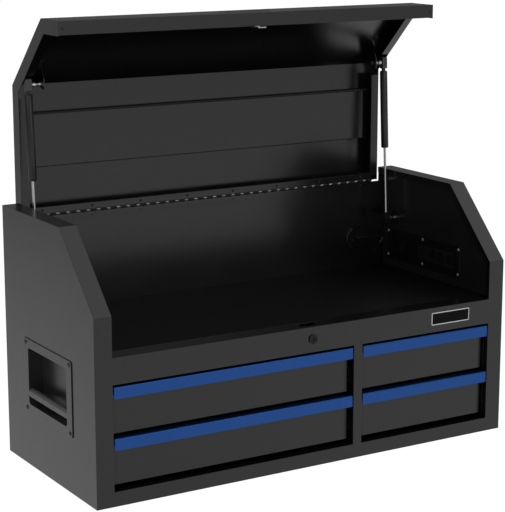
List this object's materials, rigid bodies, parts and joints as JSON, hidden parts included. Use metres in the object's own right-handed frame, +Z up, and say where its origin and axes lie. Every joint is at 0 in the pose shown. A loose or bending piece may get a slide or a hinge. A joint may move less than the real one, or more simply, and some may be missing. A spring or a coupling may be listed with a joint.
{
  "type": "machinist tool chest",
  "caption": "Wide steel top chest with a gas-strut lid over an open compartment, two rows of drawers on ball-bearing slides, recessed side handles and an internal power strip.",
  "frame": {"origin": "centre of the case's base, on the surface that the chest stands on", "axes": "+X to the right along the chest's length, +Y to its rear, +Z up"},
  "size_m": [1.0498, 0.4747, 0.9697],
  "materials": {
    "black_powder_coat": "fine textured black powder coat on steel sheet",
    "black_handle_paint": "satin black paint",
    "black_plastic": "moulded black nylon",
    "black_rubber": "moulded black rubber",
    "blue_anodised": "brushed, blue anodised aluminium",
    "zinc_plated": "bright zinc plate on steel",
    "chrome": "nickel-chrome plate on a die casting",
    "strut_paint": "black lacquered steel tube",
    "polished_rod": "ground and hardened steel rod"
  },
  "bodies": {
    "case": {"left_side_panel": "black_powder_coat", "right_side_panel": "black_powder_coat", "left_handle_dish": "black_handle_paint", "right_handle_dish": "black_handle_paint", "left_handle_grip": "black_plastic", "right_handle_grip": "black_plastic", "handle_screws": "zinc_plated", "rear_panel": "black_powder_coat", "cable_grommet": "black_rubber", "base_pan": "black_powder_coat", "bottom_rail": "black_powder_coat", "top_rail": "black_powder_coat", "centre_post": "black_powder_coat", "column_divider": "black_powder_coat", "compartment_floor": "black_powder_coat", "slide_uprights": "black_powder_coat", "lock_barrel": "chrome", "power_strip": "black_plastic", "power_strip_screws": "zinc_plated", "hinge_case_leaf": "zinc_plated", "hinge_pin": "zinc_plated", "strut_foot_brackets": "black_powder_coat", "strut_foot_studs": "zinc_plated", "lower_left_slide_rails": "zinc_plated", "lower_right_slide_rails": "zinc_plated", "upper_left_slide_rails": "zinc_plated", "upper_right_slide_rails": "zinc_plated"},
    "lid": {"lid_shell": "black_powder_coat", "lid_stiffener": "black_powder_coat", "strut_top_gussets": "black_powder_coat", "strut_top_studs": "zinc_plated", "latch_hook": "zinc_plated", "hinge_lid_leaf": "zinc_plated"},
    "lock_core": {"lock_plug": "chrome", "lock_cam": "zinc_plated"},
    "rocker": {"power_rocker": "black_plastic"},
    "left_tube": {"left_strut_tube": "strut_paint", "left_strut_top_socket": "black_plastic"},
    "left_rod": {"left_strut_rod": "polished_rod", "left_strut_foot_socket": "black_plastic"},
    "right_tube": {"right_strut_tube": "strut_paint", "right_strut_top_socket": "black_plastic"},
    "right_rod": {"right_strut_rod": "polished_rod", "right_strut_foot_socket": "black_plastic"},
    "lower_left_drawer": {"lower_left_drawer_box": "black_powder_coat", "lower_left_drawer_pull": "blue_anodised", "lower_left_slide_inners": "zinc_plated"},
    "lower_left_middles": {"lower_left_slide_middles": "zinc_plated"},
    "lower_right_drawer": {"lower_right_drawer_box": "black_powder_coat", "lower_right_drawer_pull": "blue_anodised", "lower_right_slide_inners": "zinc_plated"},
    "lower_right_middles": {"lower_right_slide_middles": "zinc_plated"},
    "upper_left_drawer": {"upper_left_drawer_box": "black_powder_coat", "upper_left_drawer_pull": "blue_anodised", "upper_left_slide_inners": "zinc_plated"},
    "upper_left_middles": {"upper_left_slide_middles": "zinc_plated"},
    "upper_right_drawer": {"upper_right_drawer_box": "black_powder_coat", "upper_right_drawer_pull": "blue_anodised", "upper_right_slide_inners": "zinc_plated"},
    "upper_right_middles": {"upper_right_slide_middles": "zinc_plated"}
  },
  "joints": [
    {"name": "lid_hinge", "type": "hinge", "parent": "case", "child": "lid", "pos_m": [0, 0.2195, 0.52875], "axis": [1, 0, 0], "range_deg": [0, 90]},
    {"name": "left_strut_pivot", "type": "hinge", "parent": "lid", "child": "left_tube", "pos_m": [-0.467, 0.18755, 0.82205], "axis": [1, 0, 0], "range_deg": [-9.86, 0]},
    {"name": "left_strut_slide", "type": "slide", "parent": "left_tube", "child": "left_rod", "axis": [0, 0.0578, 0.9983], "range_m": [0, 0.1363]},
    {"name": "right_strut_pivot", "type": "hinge", "parent": "lid", "child": "right_tube", "pos_m": [0.467, 0.18755, 0.82205], "axis": [1, 0, 0], "range_deg": [-9.86, 0]},
    {"name": "right_strut_slide", "type": "slide", "parent": "right_tube", "child": "right_rod", "axis": [0, 0.0578, 0.9983], "range_m": [0, 0.1363]},
    {"name": "lower_left_drawer_slide", "type": "slide", "parent": "case", "child": "lower_left_drawer", "axis": [0, -1, 0], "range_m": [0, 0.38]},
    {"name": "lower_left_middle_slide", "type": "slide", "parent": "case", "child": "lower_left_middles", "axis": [0, -1, 0], "range_m": [0, 0.19]},
    {"name": "lower_right_drawer_slide", "type": "slide", "parent": "case", "child": "lower_right_drawer", "axis": [0, -1, 0], "range_m": [0, 0.38]},
    {"name": "lower_right_middle_slide", "type": "slide", "parent": "case", "child": "lower_right_middles", "axis": [0, -1, 0], "range_m": [0, 0.19]},
    {"name": "upper_left_drawer_slide", "type": "slide", "parent": "case", "child": "upper_left_drawer", "axis": [0, -1, 0], "range_m": [0, 0.38]},
    {"name": "upper_left_middle_slide", "type": "slide", "parent": "case", "child": "upper_left_middles", "axis": [0, -1, 0], "range_m": [0, 0.19]},
    {"name": "upper_right_drawer_slide", "type": "slide", "parent": "case", "child": "upper_right_drawer", "axis": [0, -1, 0], "range_m": [0, 0.38]},
    {"name": "upper_right_middle_slide", "type": "slide", "parent": "case", "child": "upper_right_middles", "axis": [0, -1, 0], "range_m": [0, 0.19]},
    {"name": "lock_turn", "type": "hinge", "parent": "case", "child": "lock_core", "pos_m": [0, -0.2215, 0.2875], "axis": [0, -1, 0], "range_deg": [0, 90]},
    {"name": "rocker_tip", "type": "hinge", "parent": "case", "child": "rocker", "pos_m": [0.4953, 0.1375, 0.3731], "axis": [0, 1, 0], "range_deg": [-14, 0]}
  ],
  "couplings": [
    {"joint": "left_strut_pivot", "follows": "lid_hinge", "ratio": -0.10904},
    {"joint": "left_strut_slide", "follows": "lid_hinge", "m_per_rad": 0.08656},
    {"joint": "right_strut_pivot", "follows": "lid_hinge", "ratio": -0.10904},
    {"joint": "right_strut_slide", "follows": "lid_hinge", "m_per_rad": 0.08656},
    {"joint": "lower_left_middle_slide", "follows": "lower_left_drawer_slide", "ratio": 0.5},
    {"joint": "lower_right_middle_slide", "follows": "lower_right_drawer_slide", "ratio": 0.5},
    {"joint": "upper_left_middle_slide", "follows": "upper_left_drawer_slide", "ratio": 0.5},
    {"joint": "upper_right_middle_slide", "follows": "upper_right_drawer_slide", "ratio": 0.5}
  ]
}
